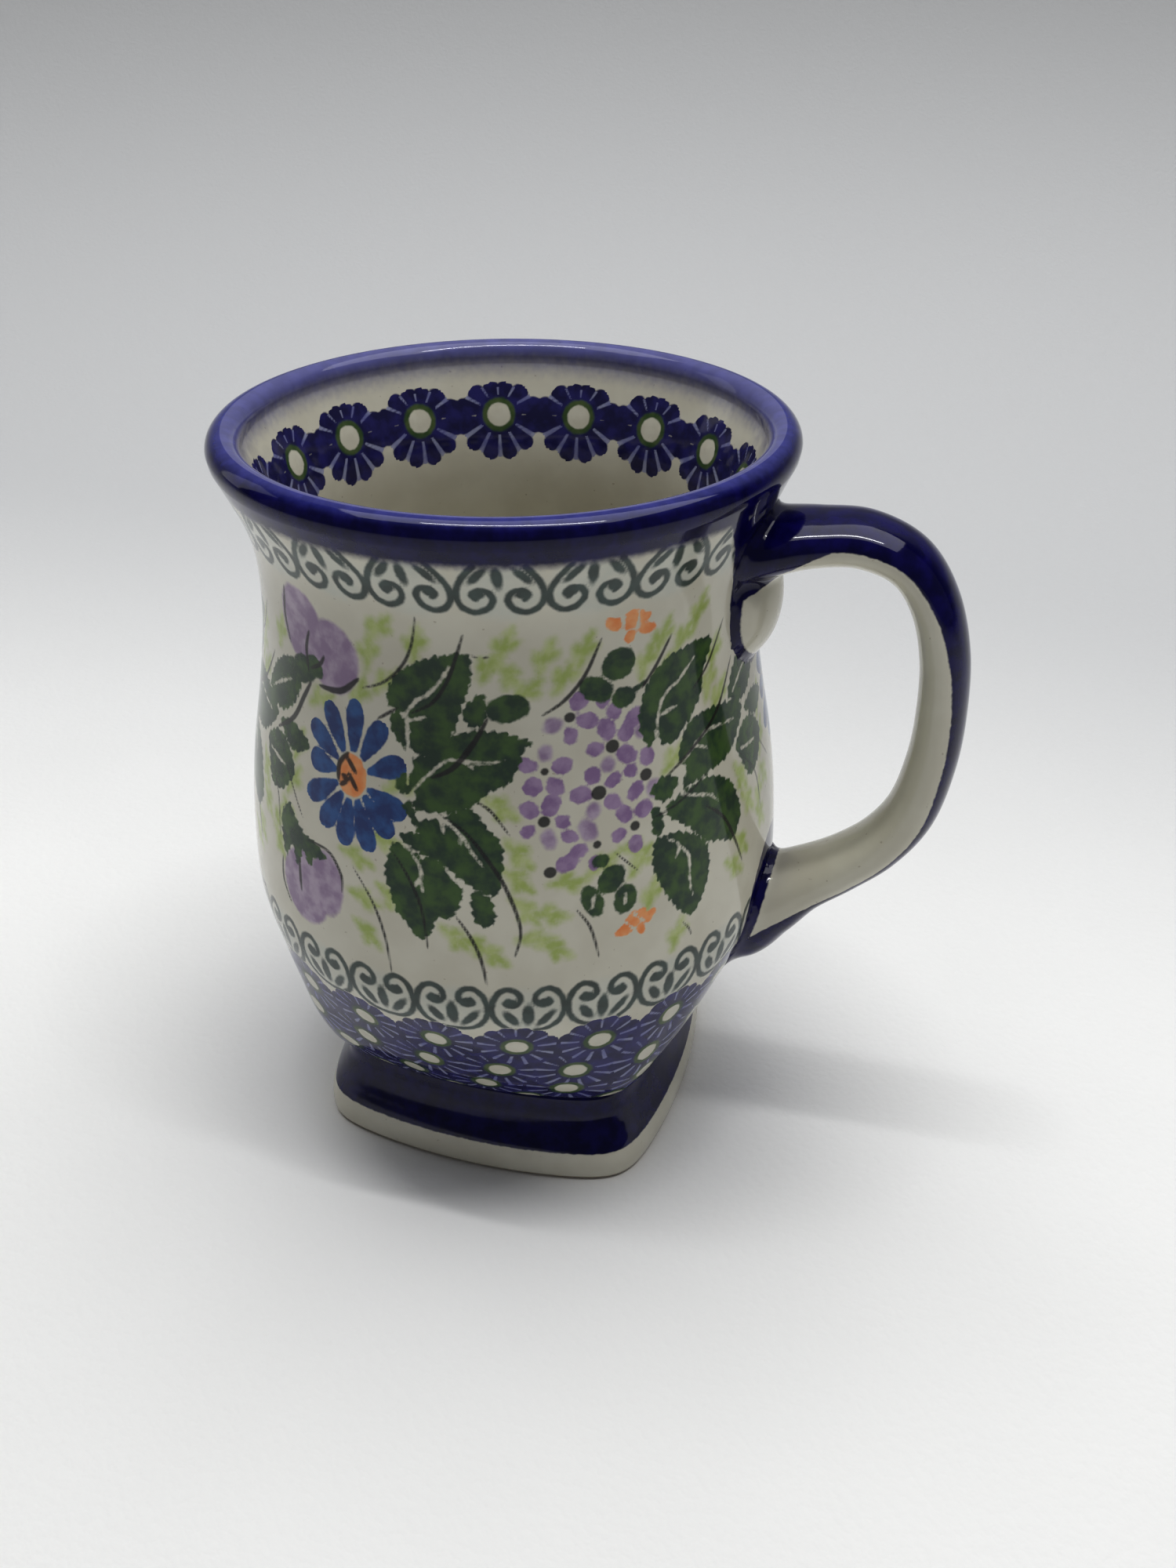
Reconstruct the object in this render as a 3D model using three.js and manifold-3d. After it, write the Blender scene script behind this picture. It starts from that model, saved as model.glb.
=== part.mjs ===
// Footed stoneware mug: a thrown bowl, a square plinth foot and a pulled strap handle,
// three pieces of clay that are luted together with slip and glazed.
//
// Millimetres, +Z up. The origin is on the bowl's axis at the table, the handle points along +X
// and the sides of the square foot are parallel to X and Y.
import * as THREE from 'three';
import { mergeVertices } from 'three/addons/utils/BufferGeometryUtils.js';
import Module from 'manifold-3d';

const wasm = await Module();
wasm.setup();

// ---------------------------------------------------------------- driving dimensions

const TOTAL_HEIGHT = 125;
const FOOT_HEIGHT = 16;
const NECK_HALF_WIDTH = 28.6;
const LUTING_GAP = 0.3;

const LIP_RADIUS = 41.3;
const LIP_ROLL = 2.5;
const WALL = 4.6;
const FLOOR_THICKNESS = 5.2;

const FOOT_HALF_WIDTH = 32.5;
const FOOT_SIDE_RADIUS = 100;
const CORNER_SHARPNESS = 16;
const ROUND_FROM_HEIGHT = 47;

const BOWL_SEGMENTS = 56;
const FOOT_SEGMENTS = 72;
const HANDLE_SIDES = 20;
const HANDLE_STEPS = 36;

// ---------------------------------------------------------------- solids and meshes

// A closed three.js geometry as a solid that can be joined and cut.
function solidOf(geometry) {
  const bare = geometry.clone();
  for (const name of Object.keys(bare.attributes)) {
    if (name !== 'position') bare.deleteAttribute(name);
  }
  const merged = mergeVertices(bare, 1e-4);
  const corners = merged.index.array;
  const triangles = [];
  for (let i = 0; i < corners.length; i += 3) {
    const [a, b, c] = [corners[i], corners[i + 1], corners[i + 2]];
    if (a !== b && b !== c && c !== a) triangles.push(a, b, c);
  }
  return new wasm.Manifold(new wasm.Mesh({
    numProp: 3,
    vertProperties: Float32Array.from(merged.attributes.position.array),
    triVerts: Uint32Array.from(triangles),
  }));
}

function geometryOf(solid) {
  const mesh = solid.getMesh();
  const geometry = new THREE.BufferGeometry();
  geometry.setAttribute('position', new THREE.BufferAttribute(Float32Array.from(mesh.vertProperties), 3));
  geometry.setIndex(new THREE.BufferAttribute(Uint32Array.from(mesh.triVerts), 1));
  geometry.computeVertexNormals();
  return geometry;
}

function namedMesh(name, solid, colour, roughness) {
  const material = new THREE.MeshStandardMaterial({ color: colour, roughness, metalness: 0 });
  const mesh = new THREE.Mesh(geometryOf(solid), material);
  mesh.name = name;
  return mesh;
}

// Turns a profile of [radius, height] points about +Z.
function turned(profile, segments) {
  const points = profile.map(([radius, height]) => new THREE.Vector2(radius, height));
  const geometry = new THREE.LatheGeometry(points, segments);
  geometry.rotateX(Math.PI / 2);
  return geometry;
}

// Points along a smooth curve through [radius, height] control points.
function smooth(controls, count) {
  const curve = new THREE.SplineCurve(controls.map(([radius, height]) => new THREE.Vector2(radius, height)));
  return curve.getPoints(count).map((point) => [point.x, point.y]);
}

// ---------------------------------------------------------------- the square of the foot

// Distance from the middle to a bowed side of the square, in a direction away from its normal.
function sideDistance(angle) {
  const back = FOOT_SIDE_RADIUS - FOOT_HALF_WIDTH;
  return Math.sqrt(FOOT_SIDE_RADIUS ** 2 - (back * Math.sin(angle)) ** 2) - back * Math.cos(angle);
}

// Radius of the square with bowed sides and rounded corners, as a share of its half width.
function squareShare(azimuth) {
  const quarter = Math.PI / 2;
  const angle = azimuth - quarter * Math.round(azimuth / quarter);
  const near = sideDistance(angle);
  const next = sideDistance(quarter - Math.abs(angle));
  const blend = near ** -CORNER_SHARPNESS + next ** -CORNER_SHARPNESS;
  return blend ** (-1 / CORNER_SHARPNESS) / FOOT_HALF_WIDTH;
}

// How square the mug is at a height: the foot is square and the bowl grows round above it.
function squareness(height) {
  const rise = (ROUND_FROM_HEIGHT - height) / (ROUND_FROM_HEIGHT - FOOT_HEIGHT);
  return THREE.MathUtils.clamp(rise, 0, 1) ** 1.5;
}

// Pushes a turned form out towards the corners of the square, level by level.
function squared(geometry) {
  const position = geometry.attributes.position;
  for (let i = 0; i < position.count; i += 1) {
    const share = squareShare(Math.atan2(position.getY(i), position.getX(i)));
    const scale = THREE.MathUtils.lerp(1, share, squareness(position.getZ(i)));
    position.setX(i, position.getX(i) * scale);
    position.setY(i, position.getY(i) * scale);
  }
  return geometry;
}

// ---------------------------------------------------------------- bowl

const BOWL_BASE = FOOT_HEIGHT + LUTING_GAP;
const BOWL_FLOOR = BOWL_BASE + FLOOR_THICKNESS;
const LIP_CENTRE = TOTAL_HEIGHT - LIP_ROLL;

// Outside of the bowl from the neck to the underside of the rolled lip: [radius, height].
const OUTSIDE = [
  [NECK_HALF_WIDTH, BOWL_BASE], [31.4, 18.4], [33.6, 21.4], [36.2, 26], [38.9, 32], [42, 39.5], [44.5, 48],
  [44.3, 60], [42.9, 72], [40.6, 84], [39, 94], [38.5, 102], [38.8, 108], [40, 113], [41.8, 117.5],
  [LIP_RADIUS + LIP_ROLL * 0.92, LIP_CENTRE - LIP_ROLL * 0.4],
];

// Inside of the bowl, from the inner edge of the lip down to the flat of the floor.
const INSIDE = [
  [LIP_RADIUS - LIP_ROLL * 0.95, LIP_CENTRE - LIP_ROLL * 0.3], [37.2, 117.5], [35.5, 113], [34.3, 108],
  [38.5 - WALL, 102], [39 - WALL, 94], [40.6 - WALL, 84], [42.9 - WALL, 72], [44.3 - WALL, 60],
  [44.4 - WALL, 48], [37.2, 39], [33.2, 31], [26.5, 25], [16, BOWL_FLOOR + 0.4], [6, BOWL_FLOOR],
];

function lipRoll(count) {
  const points = [];
  for (let i = 1; i < count; i += 1) {
    const angle = THREE.MathUtils.lerp(-0.1, Math.PI + 0.1, i / count);
    points.push([LIP_RADIUS + LIP_ROLL * Math.cos(angle), LIP_CENTRE + LIP_ROLL * Math.sin(angle)]);
  }
  return points;
}

function bowl() {
  const profile = [
    [0, BOWL_BASE], ...smooth(OUTSIDE, 22), ...lipRoll(6), ...smooth(INSIDE, 18), [0, BOWL_FLOOR],
  ];
  return solidOf(squared(turned(profile, BOWL_SEGMENTS)));
}

// The space that the outside of the bowl fills, grown by a clearance: what the handle is fitted to.
function bowlSpace(clearance) {
  const wall = smooth(OUTSIDE, 48).map(([radius, height]) => [radius + clearance, height]);
  const profile = [
    [0, BOWL_BASE], ...wall, [LIP_RADIUS + LIP_ROLL + clearance, TOTAL_HEIGHT + LIP_ROLL],
    [0, TOTAL_HEIGHT + LIP_ROLL],
  ];
  return solidOf(squared(turned(profile, BOWL_SEGMENTS * 2)));
}

// ---------------------------------------------------------------- foot

// Side of the foot from the table to the neck: [half width, height].
const FOOT_SIDE = [
  [FOOT_HALF_WIDTH - 0.6, 0], [FOOT_HALF_WIDTH, 0.9], [FOOT_HALF_WIDTH, 4.5],
  [FOOT_HALF_WIDTH - 0.3, 8], [FOOT_HALF_WIDTH - 1.1, 10.8], [FOOT_HALF_WIDTH - 2.4, 13.2],
  [NECK_HALF_WIDTH + 0.2, 15], [NECK_HALF_WIDTH - 0.4, FOOT_HEIGHT],
];

function foot() {
  return solidOf(squared(turned([[0, 0], ...FOOT_SIDE, [0, FOOT_HEIGHT]], FOOT_SEGMENTS)));
}

// ---------------------------------------------------------------- handle

// Stations along the strap: centre line in X and Z, half thickness in that plane, half width along Y.
const STRAP = [
  { x: 34, z: 107.8, thick: 7.2, wide: 9.8 },
  { x: 41, z: 109.9, thick: 4.8, wide: 8.9 },
  { x: 47.5, z: 111.3, thick: 4, wide: 7.6 },
  { x: 54.4, z: 111.7, thick: 3.8, wide: 6.9 },
  { x: 61, z: 109.1, thick: 3.6, wide: 6.5 },
  { x: 65.3, z: 103.2, thick: 3.6, wide: 6.3 },
  { x: 67.8, z: 95, thick: 3.7, wide: 6.3 },
  { x: 68.6, z: 86, thick: 3.8, wide: 6.3 },
  { x: 68.3, z: 77, thick: 3.9, wide: 6.3 },
  { x: 66.4, z: 67.6, thick: 4, wide: 6.3 },
  { x: 62.4, z: 60.6, thick: 4, wide: 6.5 },
  { x: 57, z: 55.3, thick: 4.1, wide: 6.8 },
  { x: 51, z: 50.8, thick: 4.8, wide: 7.4 },
  { x: 46, z: 47, thick: 6.8, wide: 8.6 },
  { x: 41, z: 44.7, thick: 10.4, wide: 10 },
  { x: 35, z: 43.8, thick: 12, wide: 10.4 },
];

// Smoothly varying value at a place between 0 and 1 along the strap's stations.
function alongStrap(key) {
  const last = STRAP.length - 1;
  const points = STRAP.map((station, i) => new THREE.Vector2(i / last, station[key]));
  const curve = new THREE.SplineCurve(points);
  return (place) => curve.getPoint(place).y;
}

// A round bar bent along the strap's centre line and flattened to its oval section.
function strap() {
  const centreX = alongStrap('x');
  const centreZ = alongStrap('z');
  const thick = alongStrap('thick');
  const wide = alongStrap('wide');
  const bar = new THREE.CylinderGeometry(1, 1, 1, HANDLE_SIDES, HANDLE_STEPS);
  const position = bar.attributes.position;
  const nudge = 1e-3;
  for (let i = 0; i < position.count; i += 1) {
    const place = 0.5 + position.getY(i);
    const before = Math.max(place - nudge, 0);
    const after = Math.min(place + nudge, 1);
    const along = new THREE.Vector2(centreX(after) - centreX(before), centreZ(after) - centreZ(before));
    along.normalize();
    const outward = position.getX(i) * thick(place);
    position.setXYZ(
      i,
      centreX(place) - along.y * outward,
      position.getZ(i) * wide(place),
      centreZ(place) + along.x * outward,
    );
  }
  return solidOf(bar);
}

// The end of the strap, turned down and pressed on to the wall as a rounded tail.
const TAIL = { x: 38, z: 100.5, proud: 5.1, wide: 9.4, tall: 8.8 };

function tail() {
  const lump = new THREE.SphereGeometry(1, 24, 16);
  lump.scale(TAIL.proud, TAIL.wide, TAIL.tall);
  lump.translate(TAIL.x, 0, TAIL.z);
  return solidOf(lump);
}

function handle() {
  return strap().add(tail()).subtract(bowlSpace(LUTING_GAP + 0.1));
}

// ---------------------------------------------------------------- mug

const mug = new THREE.Group();
mug.add(namedMesh('bowl', bowl(), 0xe9e4d6, 0.12));
mug.add(namedMesh('foot', foot(), 0x1b1858, 0.12));
mug.add(namedMesh('handle', handle(), 0x241f6b, 0.12));

export default mug;
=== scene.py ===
"""Footed stoneware mug with a brushed and stamped pattern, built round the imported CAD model.

Shapes are worked out in millimetres in the CAD frame and written in metres. Each layer of paint says, at
every vertex, how many millimetres inside the paint it lies; the glaze gives that a brushed edge.
"""
import math

import bpy
import numpy as np
from mathutils import Matrix, Vector


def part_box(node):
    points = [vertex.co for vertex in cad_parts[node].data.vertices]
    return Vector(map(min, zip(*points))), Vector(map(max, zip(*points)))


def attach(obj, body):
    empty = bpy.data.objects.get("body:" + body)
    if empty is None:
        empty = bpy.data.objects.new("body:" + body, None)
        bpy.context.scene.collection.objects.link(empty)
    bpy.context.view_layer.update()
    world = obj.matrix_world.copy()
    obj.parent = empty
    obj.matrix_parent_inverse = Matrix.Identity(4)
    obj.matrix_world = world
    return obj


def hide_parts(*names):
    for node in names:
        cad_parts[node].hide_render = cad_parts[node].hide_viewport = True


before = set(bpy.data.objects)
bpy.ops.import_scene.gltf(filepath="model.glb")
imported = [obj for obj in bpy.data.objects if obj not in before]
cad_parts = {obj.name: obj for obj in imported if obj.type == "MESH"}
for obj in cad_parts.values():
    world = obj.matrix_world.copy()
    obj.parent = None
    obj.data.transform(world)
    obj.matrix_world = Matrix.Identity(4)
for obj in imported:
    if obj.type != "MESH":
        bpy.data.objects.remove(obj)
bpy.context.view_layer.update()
scene = bpy.context.scene

MM = 0.001
FAR_OUTSIDE = -9.0

# ---- camera

CAMERA_PLACE = (67.87, -191.33, 188.95)
CAMERA_HEADING = math.radians(106.03)
CAMERA_DOWN = math.radians(32.45)
CAMERA_ROLL = math.radians(0.28)
CAMERA_LENS = 31.87


def make_camera():
    forward = Vector((
        math.cos(CAMERA_HEADING) * math.cos(CAMERA_DOWN),
        math.sin(CAMERA_HEADING) * math.cos(CAMERA_DOWN),
        -math.sin(CAMERA_DOWN),
    ))
    level = Vector((math.sin(CAMERA_HEADING), -math.cos(CAMERA_HEADING), 0))
    upright = level.cross(forward)
    right = level * math.cos(CAMERA_ROLL) + upright * math.sin(CAMERA_ROLL)
    up = upright * math.cos(CAMERA_ROLL) - level * math.sin(CAMERA_ROLL)
    data = bpy.data.cameras.new("camera")
    data.lens = CAMERA_LENS
    data.clip_start = 0.01
    data.clip_end = 20
    camera = bpy.data.objects.new("camera", data)
    turn = Matrix((right, up, -forward)).transposed().to_4x4()
    camera.matrix_world = Matrix.Translation(Vector(CAMERA_PLACE) * MM) @ turn
    scene.collection.objects.link(camera)
    scene.camera = camera


# ---- curves

def along(points, places):
    """Points on the smooth curve through the given points, at places from 0 (first) to 1 (last)."""
    points = np.asarray(points, float)
    last = len(points) - 1
    spot = np.clip(np.asarray(places, float), 0, 1) * last
    start = np.minimum(spot.astype(int), last - 1)
    share = (spot - start)[:, None]
    before = points[np.maximum(start - 1, 0)]
    here = points[start]
    there = points[start + 1]
    after = points[np.minimum(start + 2, last)]
    leave = (there - before) / 2
    arrive = (after - here) / 2
    cubic = 2 * here - 2 * there + leave + arrive
    square = -3 * here + 3 * there - 2 * leave - arrive
    return ((cubic * share + square) * share + leave) * share + here


def evenly(points, step):
    """The same smooth curve as points one step apart, near enough to end on the last."""
    fine = along(points, np.linspace(0, 1, 4000))
    length = path_length(fine)
    marks = np.linspace(0, length[-1], max(2, round(length[-1] / step) + 1))
    return np.column_stack([np.interp(marks, length, column) for column in fine.T])


def path_length(points):
    """How far along a line of points each one lies."""
    return np.concatenate([[0], np.cumsum(np.linalg.norm(np.diff(points, axis=0), axis=1))])


def turned(x, y, degrees):
    """Places turned anticlockwise about the middle."""
    cos, sin = math.cos(math.radians(degrees)), math.sin(math.radians(degrees))
    return x * cos - y * sin, x * sin + y * cos


def round_about(count, start):
    """Directions in degrees, spread evenly round from a first one."""
    return start + np.arange(count) * 360 / count


# ---- the form of the mug, in millimetres

TOTAL_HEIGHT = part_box("bowl")[1].z / MM
BOWL_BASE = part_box("bowl")[0].z / MM
FOOT_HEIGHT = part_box("foot")[1].z / MM
FOOT_HALF_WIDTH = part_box("foot")[1].y / MM
NECK_HALF_WIDTH = 28.6
LIP_RADIUS = 41.3
LIP_ROLL = 2.5
LIP_CENTRE = TOTAL_HEIGHT - LIP_ROLL
WALL = 4.6
BOWL_FLOOR = BOWL_BASE + 5.2
FOOT_SIDE_RADIUS = 100
CORNER_SHARPNESS = 16
ROUND_FROM = 47

OUTSIDE = [
    (NECK_HALF_WIDTH, BOWL_BASE), (31.4, 18.4), (33.6, 21.4), (36.2, 26), (38.9, 32), (42, 39.5), (44.5, 48),
    (44.3, 60), (42.9, 72), (40.6, 84), (39, 94), (38.5, 102), (38.8, 108), (40, 113), (41.8, 117.5),
    (LIP_RADIUS + LIP_ROLL * 0.92, LIP_CENTRE - LIP_ROLL * 0.4),
]
INSIDE = [
    (LIP_RADIUS - LIP_ROLL * 0.95, LIP_CENTRE - LIP_ROLL * 0.3), (37.2, 117.5), (35.5, 113), (34.3, 108),
    *[(radius - WALL, height) for radius, height in OUTSIDE[11:6:-1]],
    (44.4 - WALL, 48), (37.2, 39), (33.2, 31), (26.5, 25), (16, BOWL_FLOOR + 0.4), (6, BOWL_FLOOR),
]
# Each point of the foot's side: how far inside its full half width, and its height.
FOOT_DROPS = [(0.9, 0), (0.15, 0.6), (0, 1.8), (0.1, 3.7), (0.7, 5.6), (1.75, 7.9), (2.8, 10.2), (3.5, 12.2)]
FOOT_SIDE = [(FOOT_HALF_WIDTH - inset, height) for inset, height in FOOT_DROPS]
FOOT_SIDE += [(NECK_HALF_WIDTH + 0.2, 15), (NECK_HALF_WIDTH - 0.4, FOOT_HEIGHT)]


def side_distance(angle):
    """Distance from the middle to a bowed side of the square, in a direction away from its normal."""
    back = FOOT_SIDE_RADIUS - FOOT_HALF_WIDTH
    return np.sqrt(FOOT_SIDE_RADIUS ** 2 - (back * np.sin(angle)) ** 2) - back * np.cos(angle)


def square_share(azimuth):
    """Radius of the square with bowed sides and rounded corners, as a share of its half width."""
    quarter = math.pi / 2
    angle = azimuth - quarter * np.round(azimuth / quarter)
    near = side_distance(angle)
    far = side_distance(quarter - np.abs(angle))
    blend = near ** -CORNER_SHARPNESS + far ** -CORNER_SHARPNESS
    return blend ** (-1 / CORNER_SHARPNESS) / FOOT_HALF_WIDTH


def squareness(height):
    """How square the mug is at a height: the foot is square and the bowl grows round above it."""
    return np.clip((ROUND_FROM - height) / (ROUND_FROM - FOOT_HEIGHT), 0, 1) ** 1.5


def outside_radius(azimuth, height):
    """Radius of the outside of the bowl in a direction, in radians, at a height."""
    wall = along(OUTSIDE, np.linspace(0, 1, 600))
    round_radius = np.interp(height, wall[:, 1], wall[:, 0])
    return round_radius * (1 + (square_share(azimuth) - 1) * squareness(height))


# ---- meshes

def mesh_object(name, vertices, faces):
    """A smooth-shaded piece from vertices in mm and groups of faces with the same number of corners."""
    mesh = bpy.data.meshes.new(name)
    mesh.vertices.add(len(vertices))
    mesh.vertices.foreach_set("co", (np.asarray(vertices) * MM).astype(np.float32).ravel())
    corners = np.concatenate([np.asarray(group).ravel() for group in faces])
    counts = np.concatenate([np.full(len(group), np.shape(group)[1]) for group in faces])
    mesh.loops.add(len(corners))
    mesh.loops.foreach_set("vertex_index", corners.astype(np.int32))
    mesh.polygons.add(len(counts))
    starts = np.concatenate([[0], np.cumsum(counts)[:-1]])
    mesh.polygons.foreach_set("loop_start", starts.astype(np.int32))
    mesh.update(calc_edges=True)
    mesh.validate()
    mesh.polygons.foreach_set("use_smooth", np.ones(len(mesh.polygons), bool))
    piece = bpy.data.objects.new(name, mesh)
    scene.collection.objects.link(piece)
    return piece


def turned_piece(name, profile, columns):
    """A closed turned form: its profile runs from the axis, round the outside, to the axis again."""
    radius, height = profile[1:-1].T
    turn = np.radians(column_azimuths(columns))
    share = 1 + (square_share(turn)[None, :] - 1) * squareness(height)[:, None]
    reach = radius[:, None] * share
    level = np.repeat(height[:, None], columns, 1)
    ring = np.stack([reach * np.cos(turn), reach * np.sin(turn), level], -1)
    vertices = np.concatenate([ring.reshape(-1, 3), [(0, 0, profile[0, 1]), (0, 0, profile[-1, 1])]])
    rows = len(radius)
    index = np.arange(rows * columns).reshape(rows, columns)
    beside = np.roll(index, -1, axis=1)
    walls = np.stack([index[:-1], beside[:-1], beside[1:], index[1:]], -1).reshape(-1, 4)
    under = np.stack([beside[0], index[0], np.full(columns, rows * columns)], -1)
    over = np.stack([index[-1], beside[-1], np.full(columns, rows * columns + 1)], -1)
    piece = mesh_object(name, vertices, [walls, under, over])
    unroll(piece, profile, columns)
    return piece


def column_azimuths(columns):
    """Directions of the columns of a turned piece, in degrees, from the side away from the handle."""
    return np.arange(columns) * 360 / columns - 180


def store(piece, layer, values):
    attribute = piece.data.attributes.new(layer, "FLOAT", "POINT")
    attribute.data.foreach_set("value", np.asarray(values, np.float32).ravel())


def unroll(piece, profile, columns):
    """Lays a turned piece out as one strip for baking: round it is across, and along its profile is up."""
    across = np.linspace(0.005, 0.995, columns + 1)
    left, right = across[:-1], across[1:]
    middle = (left + right) / 2
    rise = path_length(profile)
    up = 0.005 + 0.99 * rise / rise[-1]

    def strip(corners, heights):
        """One row of faces: where the corners of each face lie across, and their heights."""
        return np.stack(np.broadcast_arrays(np.stack(corners, -1), heights), -1).reshape(-1, 2)

    strips = [strip([left, right, right, left], [low, low, high, high])
              for low, high in zip(up[1:-2], up[2:-1])]
    strips += [strip([right, left, middle], up[[1, 1, 0]]), strip([left, right, middle], up[[-2, -2, -1]])]
    layer = piece.data.uv_layers.new(name="OFBake")
    layer.data.foreach_set("uv", np.concatenate(strips).astype(np.float32).ravel())


# ---- painted shapes: millimetres inside, negative outside

def oval(x, y, wide, tall, turn=0.0):
    """An oval of half sizes wide and tall, turned anticlockwise by degrees."""
    across, up = turned(x, y, -turn)
    return (1 - np.hypot(across / wide, up / tall)) * min(wide, tall)


def nearest_on(x, y, start, end):
    """Where along a straight step each point lies nearest to it, from 0 to 1, and how far off it."""
    step = end - start
    share = np.clip(((x - start[0]) * step[0] + (y - start[1]) * step[1]) / (step @ step + 1e-9), 0, 1)
    return share, np.hypot(x - start[0] - share * step[0], y - start[1] - share * step[1])


def stroke(x, y, route, width, ends):
    """A brush stroke along the smooth line through route, thinning to a share of its width at both ends."""
    places = np.linspace(0, 1, 6 * len(route))
    line = along(route, places)
    halves = width / 2 * (ends + (1 - ends) * np.sin(math.pi * places) ** 0.6)
    inside = np.full(np.broadcast(x, y).shape, FAR_OUTSIDE)
    for start, end, half, next_half in zip(line, line[1:], halves, halves[1:]):
        share, off = nearest_on(x, y, start, end)
        inside = np.maximum(inside, half + share * (next_half - half) - off)
    return inside


def leaf(x, y, outline, pitch=1.5, depth=0.5):
    """A leaf that fills a smooth closed outline, with a saw edge of teeth one pitch apart."""
    ring = along([*outline, outline[0]], np.linspace(0, 1, 5 * len(outline)))
    shape = np.broadcast(x, y).shape
    nearest = np.full(shape, -FAR_OUTSIDE)
    place = np.zeros(shape)
    within = np.zeros(shape, bool)
    travelled = 0.0
    for start, end in zip(ring, ring[1:]):
        share, off = nearest_on(x, y, start, end)
        length = math.dist(start, end)
        place = np.where(off < nearest, travelled + share * length, place)
        nearest = np.minimum(nearest, off)
        travelled += length
        across, up = end - start
        if abs(up) > 1e-9:
            passed = (y >= start[1]) != (y >= end[1])
            within ^= passed & (x < start[0] + (y - start[1]) * across / up)
    return np.where(within, nearest, -nearest) + depth * ((place / pitch) % 1 - 0.3)


def petal(x, y, turn, start, end, wide):
    """A petal that points away from the middle at turn degrees, widest past its half way."""
    out, aside = turned(x, y, -turn)
    share = np.clip((out - start) / (end - start), 0, 1)
    half = wide / 2 * np.sin(math.pi * share ** 2) ** 0.42
    return half - np.abs(aside) - ((share <= 0) | (share >= 1))


class Canvas:
    """Paint on a turned wall: layers over a grid of directions in degrees and distances up the profile."""

    def __init__(self, profile, columns):
        self.radius, self.height = profile.T
        self.rise = path_length(profile)
        self.azimuth = column_azimuths(columns)
        self.upward = 1 if self.height[-1] > self.height[0] else -1
        self.layers = {}

    def layer(self, name):
        return self.layers.setdefault(name, np.full((len(self.rise), len(self.azimuth)), FAR_OUTSIDE))

    def at_height(self, height, values):
        """What values given along the profile come to at a height."""
        order = np.argsort(self.height)
        return np.interp(height, self.height[order], values[order])

    def near(self, azimuth, height, reach):
        """A brush that paints shapes on a layer, or leaves them bare, round a place on the wall."""
        radius = self.at_height(height, self.radius)
        right = ((self.azimuth - azimuth + 180) % 360 - 180) * math.radians(radius)
        up = (self.rise - self.at_height(height, self.rise)) * self.upward
        rows = np.flatnonzero(np.abs(up) < reach)
        columns = np.flatnonzero(np.abs(right) < reach)
        spot = np.ix_(rows, columns)
        right, up = right[columns][None, :], up[rows][:, None]

        def paint(name, shape, *sizes, bare=False):
            layer = self.layer(name)
            inside = shape(right, up, *sizes)
            layer[spot] = np.minimum(layer[spot], -inside) if bare else np.maximum(layer[spot], inside)

        return paint


# ---- stamped borders

# The right-hand scroll of a stamp, and its dashes: right, up, width, length and turn.
UPPER_SCROLL = [
    (3.2, 4.4), (5.0, 1.6), (5.8, -1), (5.1, -3), (3.5, -3.8), (1.9, -3.3), (1.0, -1.8), (1.6, -0.3),
    (2.9, 0), (3.7, -0.8), (3.2, -1.6),
]
UPPER_DASHES = [(-2.8, 2.6, 1.3, 3.9, -38), (-0.3, 2.2, 1.5, 4.4, 5), (2.8, 2.7, 1.3, 3.9, 38)]
LOWER_SCROLL = [
    (0, -4.6), (2.5, -4.2), (4.5, -2.5), (5.5, 0.3), (5.1, 3.2), (3.9, 4.8), (2.5, 5), (1.3, 4),
    (1.2, 2.6), (2.3, 1.7), (3.4, 2.2), (3, 3),
]
LOWER_DASHES = [(-2.6, -1.2, 1.7, 4.1, 28), (0, -0.5, 1.9, 5.2, 0), (2.7, -1.4, 1.5, 4.9, -36)]
SCROLL_WIDTH = 1.05
# Each border: how many stamps, the direction of one of them, their height, and what is on them.
BORDERS = [(21, -89.6, 115, UPPER_SCROLL, UPPER_DASHES), (24, -84.4, 47, LOWER_SCROLL, LOWER_DASHES)]
STAMP_REACH = 9


def scroll_stamp(canvas, azimuth, height, scroll, dashes):
    """One stamp of a border: two mirrored scrolls with three leaf dashes between them."""
    paint = canvas.near(azimuth, height, STAMP_REACH)
    for side in (-1, 1):
        route = [(side * x, y) for x, y in scroll]
        paint("scroll", stroke, route, SCROLL_WIDTH, 0.9)
        eye = np.mean(route[-4:], axis=0)
        paint("scroll", lambda x, y: oval(x - eye[0], y - eye[1], 0.95, 0.85))
    for across, up, wide, tall, turn in dashes:
        paint("scroll", lambda x, y: oval(x - across, y - up, wide / 2, tall / 2, turn))
    paint("tint", oval, 6, 5)


def scroll_borders(canvas):
    for count, start, height, scroll, dashes in BORDERS:
        for azimuth in round_about(count, start):
            scroll_stamp(canvas, azimuth, height, scroll, dashes)


# Half width of the line between two petals: at the middle, more for each mm out, and less above the eye.
GAP_START, GAP_WIDENING, GAP_FADE = 0.04, 0.055, 0.12


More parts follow.
